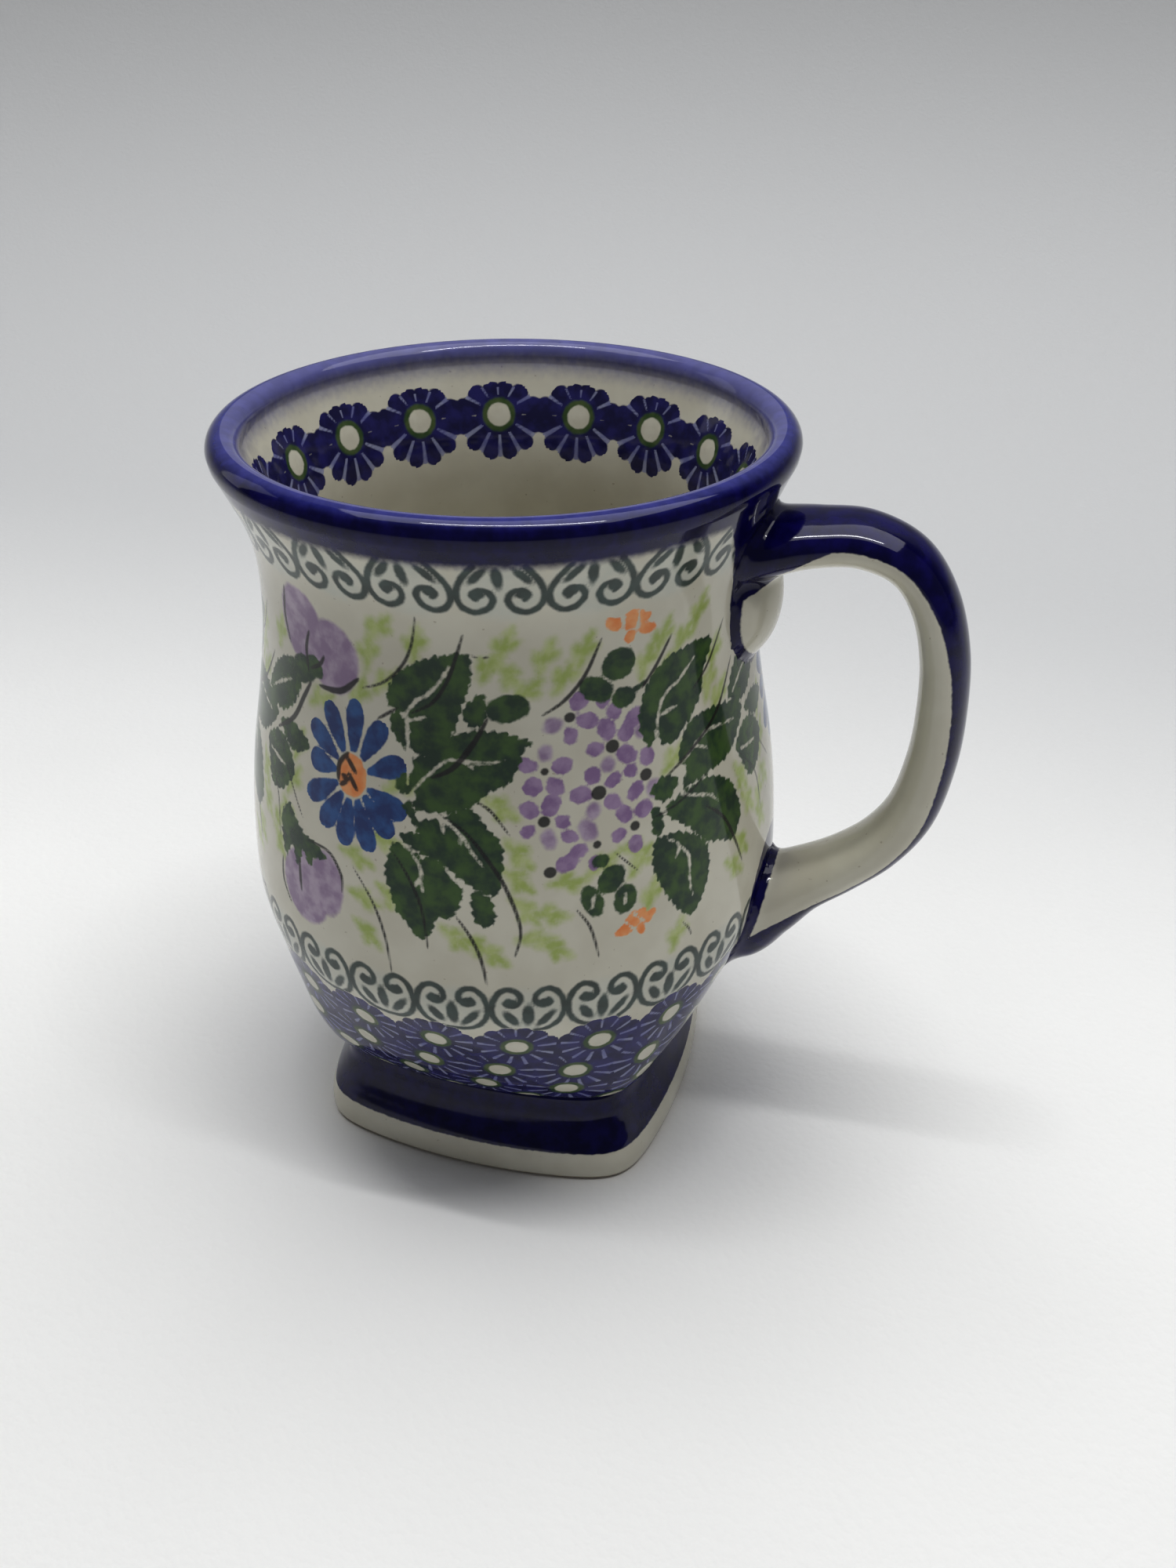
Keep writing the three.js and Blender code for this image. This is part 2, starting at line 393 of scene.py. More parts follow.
def cobalt_flower(canvas, azimuth, height, petals, up_reach, down_reach, wide, ring, eye):
    """A stamped flower: a cream eye in a green ring, and cobalt petals that are longer below than above."""
    def end_at(turn):
        return down_reach + (up_reach - down_reach) * max(math.sin(math.radians(turn)), 0) ** 1.5

    def petal_field(x, y):
        return np.maximum.reduce([petal(x, y, turn, ring - 1, end_at(turn), wide)
                                  for turn in round_about(petals, 90 + 180 / petals)])

    def gap_field(x, y):
        """Thin bare lines between the petals."""
        inside = np.full(np.broadcast(x, y).shape, FAR_OUTSIDE)
        for turn in round_about(petals, 90):
            out, aside = turned(x, y, -turn)
            upward = max(math.sin(math.radians(turn)), 0)
            line = GAP_START + GAP_WIDENING * out - GAP_FADE * upward - np.abs(aside)
            drawn = (out > ring + 0.4) & (out < end_at(turn) - 0.6)
            inside = np.where(drawn, np.maximum(inside, line), inside)
        return inside

    paint = canvas.near(azimuth, height, max(up_reach, down_reach) + 1)
    paint("stamped", petal_field)
    paint("stamped", oval, ring + 1.2, ring + 1.2)
    paint("gap", petal_field, bare=True)
    paint("gap", gap_field)
    paint("ring", oval, ring, ring)
    paint("eye", oval, eye, eye)


# Rows of flowers round the bottom of the bowl: how many, direction of one of them, height.
FLOWER_ROWS = [(20, -90, 37.6), (20, -94.5, 29.5), (17, -81, 23.3), (16, -92, 18.6)]
ROW_FLOWER = {"petals": 13, "up_reach": 6.3, "down_reach": 6.9, "wide": 2.9, "ring": 2.6, "eye": 1.8}
GROUND_TOP = 39.5


def flower_rows(canvas):
    """The flowered ground round the bottom of the bowl."""
    ground = canvas.layer("stamped")
    top = canvas.at_height(GROUND_TOP, canvas.rise)
    ground[:] = np.maximum(ground, (top - canvas.rise)[:, None])
    for count, start, height in reversed(FLOWER_ROWS):
        for azimuth in round_about(count, start):
            cobalt_flower(canvas, azimuth, height, **ROW_FLOWER)


# ---- the painted garland

GARLANDS = 3
GARLAND_MIDDLE = -84
GARLAND_BASE = 83
# Millimetres along the wall to a degree, about half way up it.
DEGREE = 0.733
BUDS_FROM_MIDDLE = -36
HIDDEN_BY_HANDLE = 40

# Brushed stems thin to this share of their width at both ends.
BRUSH_ENDS = 0.25
# Grass: widest in mm, then places as degrees from the garland's middle and height on the wall.
GRASS = [
    (0.5, [(-18.5, 97.2), (-14, 98.7), (-10, 101.5), (-7.5, 105), (-5.9, 110)]),
    (0.6, [(-7.3, 95), (-3, 97), (0, 100.5), (2, 104.5), (3.4, 107.8)]),
    (0.5, [(-15.5, 93), (-10.8, 95.5)]),
    (0.85, [(-3.2, 85.8), (1, 87.6), (5, 91.5), (7.8, 95.3)]),
    (0.5, [(5.5, 83), (8.5, 81.5), (12, 77.8)]),
    (0.65, [(-2, 80.8), (3, 78.5), (7, 75), (11, 70), (13.8, 63), (12.5, 58)]),
    (0.55, [(-11.8, 74), (-8, 70), (-5.3, 65), (-4.3, 58.5)]),
    (0.5, [(-21, 69.5), (-16, 64.5), (-13.3, 59), (-12.2, 52.6)]),
    (0.6, [(1, 65), (4, 61.5), (6, 57.5), (7, 52.8)]),
    (0.6, [(19.5, 95.4), (24, 97.5), (28, 101), (31, 106)]),
    (0.5, [(24.2, 65.5), (27, 62), (28.7, 56.5)]),
    (0.35, [(32.5, 73.5), (37.5, 69.5)]),
    (0.6, [(41, 97), (44.5, 100), (48, 104)]),
    (0.5, [(55, 94), (60, 97), (65, 102.5)]),
    (0.6, [(46, 82.5), (53, 85), (62, 89), (68.5, 95.5)]),
    (0.4, [(41, 77), (48, 78), (57, 80.5)]),
    (0.65, [(55, 75.5), (61, 71), (66.5, 61.5)]),
    (0.4, [(68.5, 80), (75, 74), (76.5, 67)]),
    (0.4, [(-43, 80.5), (-35, 73)]),
    (0.4, [(47, 58), (49, 56), (49.6, 54.6)]),
    (0.35, [(5.2, 104.6), (6.4, 104.3)]),
    (0.35, [(7.6, 104.2), (8.8, 104.5)]),
]

# Outlines of the saw-edged leaves, as places on the wall.
LEAVES = [
    [(-12.5, 96), (-12.2, 97.8), (-10.4, 100.4), (-7.6, 102), (-4.5, 103.3), (-1, 104.2), (4.1, 104.5),
     (4.1, 101), (3.2, 98.5), (2.2, 96.4), (0.3, 92.5), (-3.1, 89.4), (-7.3, 89.5), (-7.8, 92.2),
     (-7.8, 94.5), (-10.1, 95)],
    [(-12.4, 94.6), (-11.8, 91.8), (-9, 89.5), (-8.9, 92.2), (-10.1, 94.5)],
    [(-6.9, 86.9), (-6.4, 88.5), (-3.4, 89.4), (0.1, 92), (4.6, 93.2), (9.6, 93.4), (13.1, 92.5),
     (16.3, 91.7), (14.3, 90.4), (13.8, 88.3), (11.3, 85.5), (7.8, 84.4), (4.6, 82), (-1, 80.8),
     (-6.6, 80.9), (-6.2, 83)],
    [(-11.1, 83.7), (-10.4, 85.2), (-8.3, 86), (-5.9, 86.2), (-6.6, 84.8), (-8.7, 82.9), (-10.1, 82.9)],
    [(-9.7, 81.3), (-8, 81.6), (-6.6, 79.5), (-6, 77.6), (-8, 79.5)],
    [(-6.2, 77.4), (-5.7, 79.2), (-2, 79.9), (4, 82), (7.8, 78.8), (9.9, 77.4), (10.6, 74.3), (9.5, 69),
     (6, 69.2), (3.2, 70.7), (-1, 72.9), (-6.2, 74.6), (-10.1, 76.4)],
    [(-11.8, 75.3), (-13.4, 70.4), (-12.4, 67.6), (-11.1, 64.4), (-9, 62.7), (-5.8, 60), (-3.4, 62),
     (-2.4, 64.1), (0.8, 64.8), (2.9, 69), (-0.3, 72.1), (-2.7, 73.9), (-5.2, 73.7), (-9.7, 75)],
    [(4.3, 69), (6, 69), (8.2, 67.6), (8.9, 64.8), (7.5, 63.4), (5.7, 63.7), (4.5, 65.5)],
    [(3.1, 95), (4.1, 97.1), (7.1, 98.9), (7.6, 96.8), (7.5, 95), (5.4, 93.9)],
    [(40.5, 91.6), (41.4, 95), (42.9, 97.5), (46.8, 100.1), (54.1, 101.3), (60, 100.4), (57.3, 96.1),
     (56.2, 92.5), (51.5, 89.2), (48.3, 87.4), (45.4, 87.8), (44.3, 90.5), (43.2, 88.2), (41.8, 88.5)],
    [(49.2, 84.2), (51.5, 88.1), (54.8, 89.6), (62, 89.6), (68.5, 88.1), (71.7, 86.3), (67.8, 82.7),
     (63.4, 80.7), (56.2, 80.2), (50.1, 79.9), (51.5, 82.7)],
    [(41.1, 81.3), (43.2, 82.4), (45.7, 82.7), (48.3, 81.3), (46.1, 79.5), (43.9, 79.1)],
    [(41.4, 78.8), (43.2, 78), (43.4, 74.8), (41.4, 74.4), (41.1, 77)],
    [(44.7, 78.4), (50.4, 79.4), (57.7, 79.5), (63.4, 77), (65.2, 74.8), (66.7, 70.5), (63.4, 67.2),
     (59.1, 68.3), (54.1, 70.1), (49.7, 73.7), (45, 76.6)],
    [(41.4, 74.1), (40.3, 69.7), (43.2, 64.3), (46.1, 60.7), (49.7, 58.5), (53, 61.1), (55.1, 65.4),
     (54.1, 70.1), (47.9, 73.3), (43.2, 73.7)],
    [(67.5, 81.3), (72, 83.6), (77, 83.2), (81, 79.4), (77, 75.4), (72.5, 74.6), (70, 77)],
    [(67, 89.6), (70, 93.4), (76, 96.6), (82, 96), (80, 91), (76, 88), (71, 87.4)],
    [(73.5, 85.6), (79, 87), (85.5, 85), (80, 82.6)],
]
# Bare lines left in the leaves.
VEINS = [
    [(-8.2, 84), (-8.2, 90), (-8.4, 94.6), (-6.6, 96.8), (-3.4, 98.6), (-0.4, 101.6), (0.4, 102.6)],
    [(-7.6, 94), (-4.8, 94.8)], [(-7, 83.7), (-3, 86.9), (0.1, 88.8), (3.4, 88.8), (7.4, 88.7),
    (11.2, 89.2)], [(3, 88.8), (4.8, 87.8)], [(-6.6, 80.4), (-1.7, 80.2), (2.5, 77.8), (4.6, 75.3),
    (6.9, 72.9)], [(-1.6, 80), (-0.9, 77.7)], [(2.2, 78), (2.4, 76.2)], [(-10.1, 75.7), (-6.9, 73.6),
    (-5.4, 71.1), (-5.2, 68)], [(-5.4, 70.6), (-6.8, 68.8)], [(-0.4, 72.4), (1.4, 70.6), (3.4, 69.6)],
    [(44.7, 87.8), (44.8, 91.8), (46.8, 95), (50.4, 96.4), (54.8, 99)], [(45.2, 92.2), (49.4, 92.6)],
    [(47.2, 83.1), (51.2, 84.2), (54.1, 85.6), (58.4, 86.7), (64.2, 86), (67.8, 85.6)], [(54, 85.4),
    (57.4, 84)], [(48.6, 79.1), (53.3, 77.7), (56.9, 76.6), (59.1, 74.8)], [(43.8, 73.3), (47.2, 71.5),
    (49.4, 68.7), (49.4, 64.7), (50.1, 61.8)], [(46.1, 69.6), (47.4, 71.2)], [(69, 89.6), (73, 91.6),
    (78, 93.4)], [(69.6, 80), (73, 79.6), (77, 79.2)], [(34.2, 64.9), (34.3, 66.5)], [(27.4, 65.2),
    (27.9, 67.4)],
]
# Plain leaves: degrees from the middle, height, half sizes and turn.
SMALL_LEAVES = [
    (12.2, 96.7, 3.1, 2.1, 12), (35.4, 101.6, 2.7, 2.4, 30), (30.4, 98.4, 2.8, 1.8, -30),
    (36.5, 96.4, 1.9, 1.6, 0), (31.6, 69.4, 2.5, 2, 50), (27.6, 66.4, 1.6, 2.8, 20),
    (34.2, 65.6, 1.9, 2.5, -10), (29.6, 72.6, 1.3, 1.1, 0), (40, 97.4, 1.4, 0.5, 20), (43, 96, 0.9, 0.4, 0),
]
# The daisy's place, the directions of its petals and the strokes of its stamens.
DAISY = (-21.6, 83.4)
DAISY_PETALS = [88, 60, 24, -24, -48, -72, -95, -118, -145, 178, 146, 117]
STAMENS = [
    [(-2.5, -1.5), (-2.4, 1.2), (-0.8, 3.3)], [(-1, 2.6), (0.7, 0.6)], [(-1.8, -0.4), (-0.6, -0.8)],
    [(-0.6, 0.2), (1, -2)], [(-2, -2), (-0.9, -1.2)],
]
# Black eyes of the lilac: degrees from the middle, height and half size.
BLACK_DOTS = [
    (24.7, 94.8, 0.8), (33.5, 89.5, 1.05), (40.6, 84, 1), (30, 83, 1.15), (18.7, 79.8, 0.9),
    (37.2, 76.8, 0.8), (29, 75.3, 0.65), (19.5, 72, 0.95), (19.2, 87.2, 0.6),
]
LILAC_CENTRE = (28.5, 84)
LILAC_REACH = np.array((10.6, 13))
FLORET_STEPS = (2.6, 2.15)
FLORET_SIZE = 1.3
FLORET_GAP = 2.4
EYE_GAP = 1.9
EYE_RING = 2.75
ORANGE_FLOWERS = [(38, 107, 0), (36.5, 60.8, 50)]
# Feathers of thin yellow-green colour: the way they point in degrees, and their places.
WASHES = {
    -70: [(68, 76)],
    -60: [(12.5, 101.5), (14.5, 66), (70, 71), (66, 65), (13.5, 75), (80, 72), (76, 66)],
    -50: [(-17.5, 58.5), (-12, 66), (1, 61), (8, 58.5), (63, 62), (13, 71)],
    -40: [(5, 60), (20, 59), (10, 82)],
    -30: [(37, 73)],
    -20: [(-18, 64.5), (-20, 71), (19, 65)],
    -10: [(16.5, 61), (23, 70), (-14, 75)],
    20: [(-31, 93), (30, 72), (-10, 84)],
    30: [(-13, 99), (16, 99), (48, 85)],
    40: [(-14, 107), (38, 71), (52, 103), (63, 91)],
    50: [(9, 103), (24, 101), (-39, 78)],
    60: [(-20, 96), (12, 106), (20, 104), (28, 104.5), (46, 56), (40, 65), (42, 101), (46, 104),
        (56, 106), (60, 94), (62, 98), (-38, 84), (-44, 70), (74, 100), (46, 98)],
    70: [(-17, 103), (-6, 105.5)],
}
FEATHER = [[(-3, -0.5), (0, 0.1), (3.2, 0.5)], [(-1.4, 0), (0.2, 1.5)], [(-0.2, 0), (1.4, -1.1)]]


def garland(canvas, middle):
    """One repeat of the painted flowers, leaves and grass."""
    def lay(name, points, shape, *sizes, bare=False):
        """Paints a shape drawn through places on the wall, or carves it out to leave it bare."""
        route = (np.asarray(points, float) - (0, GARLAND_BASE)) * (DEGREE, 1)
        centre = (route.min(0) + route.max(0)) / 2
        reach = np.ptp(route, axis=0).max() / 2 + 2.5
        paint = canvas.near(middle + centre[0] / DEGREE, GARLAND_BASE + centre[1], reach)
        paint(name, shape, route - centre, *sizes, bare=bare)

    def oval_at(name, degrees, height, wide, tall, turn=0.0):
        paint = canvas.near(middle + degrees, height, max(wide, tall) + 3)
        paint(name, oval, wide, tall, turn)

    for outline in LEAVES:
        lay("leaf", outline, leaf)
    for small_leaf in SMALL_LEAVES:
        oval_at("leaf", *small_leaf)
    for vein in VEINS:
        lay("leaf", vein, stroke, 0.5, 0.4, bare=True)
    for turn, places in WASHES.items():
        for degrees, height in places:
            feather(canvas, middle + degrees, height, turn)
    for width, points in GRASS:
        lay("black", points, stroke, width, BRUSH_ENDS)
    lilac_cluster(canvas, middle)
    for degrees, height, turn in ORANGE_FLOWERS:
        orange_flower(canvas, middle + degrees, height, turn)
    daisy(canvas, middle + DAISY[0], DAISY[1])
    if abs((middle + BUDS_FROM_MIDDLE + 180) % 360 - 180) > HIDDEN_BY_HANDLE:
        buds(lay, oval_at)


def feather(canvas, azimuth, height, turn):
    """A feathery dab of thin colour."""
    paint = canvas.near(azimuth, height, 5)
    for barb in FEATHER:
        route = [turned(x, y, turn) for x, y in barb]
        paint("wash", stroke, route, 1.7, 0.1)


def daisy(canvas, azimuth, height):
    """A blue daisy with an orange eye and a few dark stamens."""
    paint = canvas.near(azimuth, height, 14)
    for number, turn in enumerate(DAISY_PETALS):
        tall = abs(math.sin(math.radians(turn)))
        end = 8.7 + 2.9 * tall + 0.3 * math.cos(number * 2.4)
        paint("blue", petal, turn, 2.4, end, 3.8 - 0.5 * tall)
    paint("blue", oval, 2.9, 3.7, bare=True)
    paint("orange", oval, 2.6, 3.4)
    paint = canvas.near(azimuth, height, 6)
    for points in STAMENS:
        paint("black", stroke, points, 0.85, 0.5)


def lilac_cluster(canvas, middle):
    """A round head of lilac florets, five round each black eye and the rest between them."""
    dots = (np.array(BLACK_DOTS)[:, :2] - LILAC_CENTRE) * (DEGREE, 1)
    spots = []
    for dot, (degrees, _, _) in zip(dots, BLACK_DOTS):
        for turn in round_about(5, 40 * math.sin(degrees)):
            spots.append(dot + turned(EYE_RING, 0, turn))
    for row in range(-6, 7):
        for column in range(-5, 6):
            across = (column + (row % 2) / 2) * FLORET_STEPS[0] + 0.4 * math.sin(5 * row + column)
            up = row * FLORET_STEPS[1] + 0.4 * math.cos(3 * column + row)
            spots.append(np.array((across, up)))
    kept = []
    for spot in spots:
        inside = math.hypot(*(spot / LILAC_REACH)) < 1.02
        clear = all(math.dist(spot, other) > FLORET_GAP for other in kept)
        apart = all(math.dist(spot, dot) > EYE_GAP for dot in dots)
        if inside and clear and apart:
            kept.append(spot)
    for number, spot in enumerate(kept):
        across, up = spot
        size = FLORET_SIZE + 0.2 * math.sin(number * 1.7)
        colour = "bud" if number % 5 == 2 else "lilac"
        away = spot - min(dots, key=lambda dot: math.dist(spot, dot))
        turn = math.degrees(math.atan2(away[1], away[0]))
        wide = size * (1.14 + 0.14 * math.cos(number * 2.3))
        paint = canvas.near(middle + LILAC_CENTRE[0] + across / DEGREE, LILAC_CENTRE[1] + up, 4)
        paint(colour, oval, wide, size * 0.92, turn)
    for degrees, height, size in BLACK_DOTS:
        paint = canvas.near(middle + degrees, height, 4)
        paint("black", oval, size, size * 0.95)


# Dabs of an orange flower: right, up, half sizes and lean.
ORANGE_DABS = [
    (-2.7, 0.9, 1.5, 0.95, 150), (0.1, 1, 1.9, 1.5, 10), (2.5, -0.9, 1.5, 0.8, -10),
    (-0.1, -1.5, 1.1, 0.8, 70), (2.2, 0.9, 1, 0.7, 30),
]
ORANGE_GAPS = [[(-1.3, 2.6), (-1.1, -1.2)], [(0.9, 2.6), (1.3, -1)], [(-1.1, -0.5), (1.4, -0.5)]]
ORANGE_SQUEEZE = 0.6


def orange_flower(canvas, azimuth, height, turn):
    """A small orange flower of five loose brush dabs, parted by thin gaps."""
    paint = canvas.near(azimuth, height, 8)
    cos, sin = math.cos(math.radians(turn)), math.sin(math.radians(turn)) * ORANGE_SQUEEZE

    def placed(across, up):
        return across * cos - up * sin, across * sin + up * cos

    for across, up, wide, tall, lean in ORANGE_DABS:
        right, over = placed(across, up)
        paint("orange", lambda x, y: oval(x - right, y - over, wide, tall, lean + turn))
    for gap in ORANGE_GAPS:
        route = [placed(*point) for point in gap]
        paint("orange", stroke, route, 0.42, 0.6, bare=True)


# The lilac buds: the leafy cap of the lower one, their lobes and sepals, and their stems.
BUD_CAP = [
    (-43.4, 71), (-40.5, 74), (-38, 72.6), (-35, 70.8), (-30.5, 70), (-27.6, 68.4), (-31, 67.6),
    (-32.6, 65.8), (-34.6, 67.8), (-36.6, 64.4), (-38.6, 67.4), (-41.2, 64.6), (-42.6, 68),
]
BUD_LOBES = [
    (-36.6, 103.4, 4.9, 6), (-27, 100.4, 4.9, 5.6), (-34.4, 61.4, 5.7, 6.4), (-27.6, 64.2, 3.4, 5.6),
]
BUD_SEPALS = [(-36.6, 96.4, 3, 2.2, 20), (-33, 97.6, 2, 1.6, -30)]
BUD_STEMS = [
    (0.6, [(-41, 108.4), (-43, 103.5), (-41.6, 99)]),
    (1, [(-31, 95), (-25, 95.6), (-20.4, 98.4)]),
    (0.7, [(-35, 96.4), (-35.2, 100), (-33.8, 103)]),
    (0.7, [(-34, 97), (-31, 98.4), (-29.6, 100)]),
    (0.9, [(-34.5, 95), (-37, 92), (-40.6, 87.6), (-47, 84)]),
    (0.6, [(-34, 70), (-27, 70), (-23.4, 67), (-23.2, 64)]),
    (0.6, [(-42.4, 64), (-42.6, 59.6), (-39.6, 56)]),
    (0.7, [(-36, 66), (-35.6, 60)]),
]


def buds(lay, oval_at):
    """Two lilac buds on thin stems, one nodding above the daisy and one hanging below it."""
    for lobe in BUD_LOBES:
        oval_at("bud", *lobe)
    for sepal in BUD_SEPALS:
        oval_at("leaf", *sepal)
    lay("leaf", BUD_CAP, leaf)
    for width, points in BUD_STEMS:
        lay("black", points, stroke, width, BRUSH_ENDS)


# ---- cobalt bands and the paint round the joints

BAND_BOTTOM = 118.7
HAZE_TOP = TOTAL_HEIGHT - 0.4
HAZE_BOTTOM = 121.2
HAZE_FADE = 0.3

# Ovals of cobalt on the wall round the handle's ends: height, and half sizes across and up.
JOINT_OVALS = [(105, 10.6, 14.6), (116, 15.5, 7), (46, 11.4, 13.8), (38, 11, 8.6)]
# The line along which the cobalt of the upper end runs out into the band, on the right.
JOINT_SWEEP = [(19, 6), (16, 2), (12.5, -2.5), (10.5, -8)]
SWEEP_HEIGHT = 116
JOINT_REACH = 30


def joint_paint(canvas):
    """Cobalt brushed on the wall round the ends of the handle."""
    for height, wide, tall in JOINT_OVALS:
        paint = canvas.near(0, height, JOINT_REACH)
        paint("cobalt", oval, wide, tall)
    paint = canvas.near(0, SWEEP_HEIGHT, JOINT_REACH)
    for side in (-1, 1):
        route = [(side * x, y) for x, y in JOINT_SWEEP]
        paint("cobalt", stroke, route, 3.4, 0.6)


def cobalt_bands(outer, inner):
    """The dark band under the lip, and the thin cobalt that runs from its crest into the mug and fades."""
    outer.layer("band")[:] = (outer.height - BAND_BOTTOM)[:, None]
    outer.layer("haze")[:] = (outer.height - HAZE_TOP)[:, None]
    inner.layer("haze")[:] = (inner.height - HAZE_BOTTOM)[:, None] * HAZE_FADE


INNER_FLOWERS = 16
INNER_START = 111.5
INNER_HEIGHT = 113.6
INNER_FLOWER = {"petals": 12, "up_reach": 5.5, "down_reach": 7.9, "wide": 3.05, "ring": 2.85, "eye": 2.0}


def inner_ring(canvas):
    """The ring of stamped flowers inside the rim, each one running into the next."""
    for azimuth in round_about(INNER_FLOWERS, INNER_START):
        cobalt_flower(canvas, azimuth, INNER_HEIGHT, **INNER_FLOWER)
    for azimuth in round_about(INNER_FLOWERS, INNER_START + 180 / INNER_FLOWERS):
        paint = canvas.near(azimuth, INNER_HEIGHT, 6)
        paint("stamped", oval, 2.4, 2.1)
        paint("gap", oval, 5.4, 1.3, bare=True)


# ---- bowl

COLUMNS = 720
FINE = 0.42
COARSE = 1.6
INNER_PAINT_BOTTOM = 103


def bowl_profile():
    """The bowl's section, its painted outside and inside, and how many plain points follow inside."""
    outside = evenly(OUTSIDE, FINE)
    turn = np.linspace(-0.1, math.pi + 0.1, 20)[1:-1]
    roll = np.column_stack([LIP_RADIUS + LIP_ROLL * np.cos(turn), LIP_CENTRE + LIP_ROLL * np.sin(turn)])
    inside = evenly(INSIDE, FINE)
    painted = inside[inside[:, 1] > INNER_PAINT_BOTTOM]
    plain = inside[inside[:, 1] <= INNER_PAINT_BOTTOM][::round(COARSE / FINE)]
    crest = len(roll) // 2
    outer = np.concatenate([outside, roll[:crest]])
    inner = np.concatenate([roll[crest:], painted])
    hidden = [(0, BOWL_BASE - 0.2), (NECK_HALF_WIDTH - 0.8, BOWL_BASE - 0.2)]
    profile = np.concatenate([hidden, outer, inner, plain, [(0, BOWL_FLOOR)]])
    return profile, outer, inner, len(plain)


def make_bowl():
    profile, outer, inner, plain_rows = bowl_profile()
    outer_wall = Canvas(outer, COLUMNS)
    inner_wall = Canvas(inner, COLUMNS)
    for middle in round_about(GARLANDS, GARLAND_MIDDLE):
        garland(outer_wall, middle)
    scroll_borders(outer_wall)
    flower_rows(outer_wall)
    joint_paint(outer_wall)
    inner_ring(inner_wall)
    cobalt_bands(outer_wall, inner_wall)
    for name in ("scroll", "tint"):
        layer = outer_wall.layer(name)
        layer[:] = np.minimum(layer, -np.maximum(outer_wall.layer("cobalt"), outer_wall.layer("stamped")))
    piece = turned_piece("bowl_glazed", profile, COLUMNS)
    hidden = np.full((1, COLUMNS), FAR_OUTSIDE)
    plain = np.full((plain_rows, COLUMNS), FAR_OUTSIDE)
    for name in BOWL_PAINTS:
        rows = np.concatenate([hidden, outer_wall.layer(name), inner_wall.layer(name), plain])
        store(piece, name, np.append(rows.ravel(), [FAR_OUTSIDE] * 2))
    return piece


# ---- foot

FOOT_BAND = 5.6
FOOT_FINE = 0.5
FOOT_COLUMNS = 480
FOOT_CRISPNESS = 1.6


def make_foot():
    side = evenly(FOOT_SIDE, FOOT_FINE)
    hidden = [(NECK_HALF_WIDTH - 0.7, FOOT_HEIGHT + 0.8), (0, FOOT_HEIGHT + 0.8)]
    profile = np.concatenate([[(0, 0), (FOOT_HALF_WIDTH - 2.4, 0)], side, hidden])
    piece = turned_piece("foot_glazed", profile, FOOT_COLUMNS)
    height = np.array([vertex.co.z / MM for vertex in piece.data.vertices])
    store(piece, "cobalt", (height - FOOT_BAND) * FOOT_CRISPNESS)
    return piece


# ---- handle

# Stations along the strap: centre line in X and Z, half thickness in that plane, half width along Y.
STRAP = [
    (34, 107.8, 7.2, 9.8), (41, 109.9, 4.8, 8.9), (47.5, 111.3, 4, 7.6), (54.4, 111.7, 3.8, 6.9),
    (61, 109.1, 3.6, 6.5), (65.3, 103.2, 3.6, 6.3), (67.8, 95, 3.7, 6.3), (68.6, 86, 3.8, 6.3),
    (68.3, 77, 3.9, 6.3), (66.4, 67.6, 4, 6.3), (62.4, 60.6, 4, 6.5), (57, 55.3, 4.1, 6.8),
    (51, 50.8, 4.8, 7.4), (46, 47, 6.8, 8.6), (41, 44.7, 10.4, 10), (35, 43.8, 12, 10.4),
]
TAIL_MIDDLE = np.array((38, 0, 100.5))
TAIL_SIZE = np.array((5.1, 9.4, 8.8))
HANDLE_STEP = 0.55
STRAP_RINGS = 140
STRAP_SIDES = 40
FILLET = 2.2
SOFTNESS = 1.4
BURIED = 2.3
RELAXINGS = 4


def headings(line):
    """The direction in which a line in X and Z runs on from each of its points."""
    ahead = np.gradient(line, axis=0)
    return ahead / np.linalg.norm(ahead, axis=1)[:, None]


def strap_rings():
    """The strap as rings of points."""
    x, z, thick, wide = along(STRAP, np.linspace(0, 1, STRAP_RINGS)).T
    ahead = headings(np.column_stack([x, z]))
    turn = np.arange(STRAP_SIDES) * 2 * math.pi / STRAP_SIDES
    outward = thick[:, None] * np.cos(turn)
    sideways = wide[:, None] * np.sin(turn)
    across = x[:, None] - ahead[:, 1:] * outward
    return np.stack([across, sideways, z[:, None] + ahead[:, :1] * outward], -1)


def strap_place(points):
    """The nearest place on the strap, how far out of its middle each point lies, and its section there."""
    line = along(STRAP, np.linspace(0, 1, 500))
    centre = line[:, :2]
    ahead = headings(centre)
    flat = points[:, [0, 2]]
    nearest = np.concatenate([
        np.argmin(((part[:, None, :] - centre[None]) ** 2).sum(-1), axis=1)
        for part in np.array_split(flat, len(flat) // 4000 + 1)])
    slip = ((flat - centre[nearest]) * ahead[nearest]).sum(1)
    step = np.linalg.norm(np.diff(centre, axis=0), axis=1).mean()
    exact = np.clip(nearest + slip / step, 0, len(line) - 1)
    x, z, thick, wide, ahead_x, ahead_z = [
        np.interp(exact, np.arange(len(line)), column) for column in np.hstack([line, ahead]).T]
    outward = (flat[:, 1] - z) * ahead_x - (flat[:, 0] - x) * ahead_z
    return exact / (len(line) - 1), outward, thick, wide


def wall_distance(points):
    """Distance from the outside of the bowl, about right close to it."""
    azimuth = np.arctan2(points[:, 1], points[:, 0])
    return np.hypot(points[:, 0], points[:, 1]) - outside_radius(azimuth, points[:, 2])


def brought_out(points):
    """The same points, but none deeper in the bowl's wall than the ends of the handle go."""
    short = np.maximum(-BURIED - wall_distance(points), 0)
    stretch = 1 + short / np.hypot(points[:, 0], points[:, 1])
    return points * np.stack([stretch, stretch, np.ones(len(points))], -1)


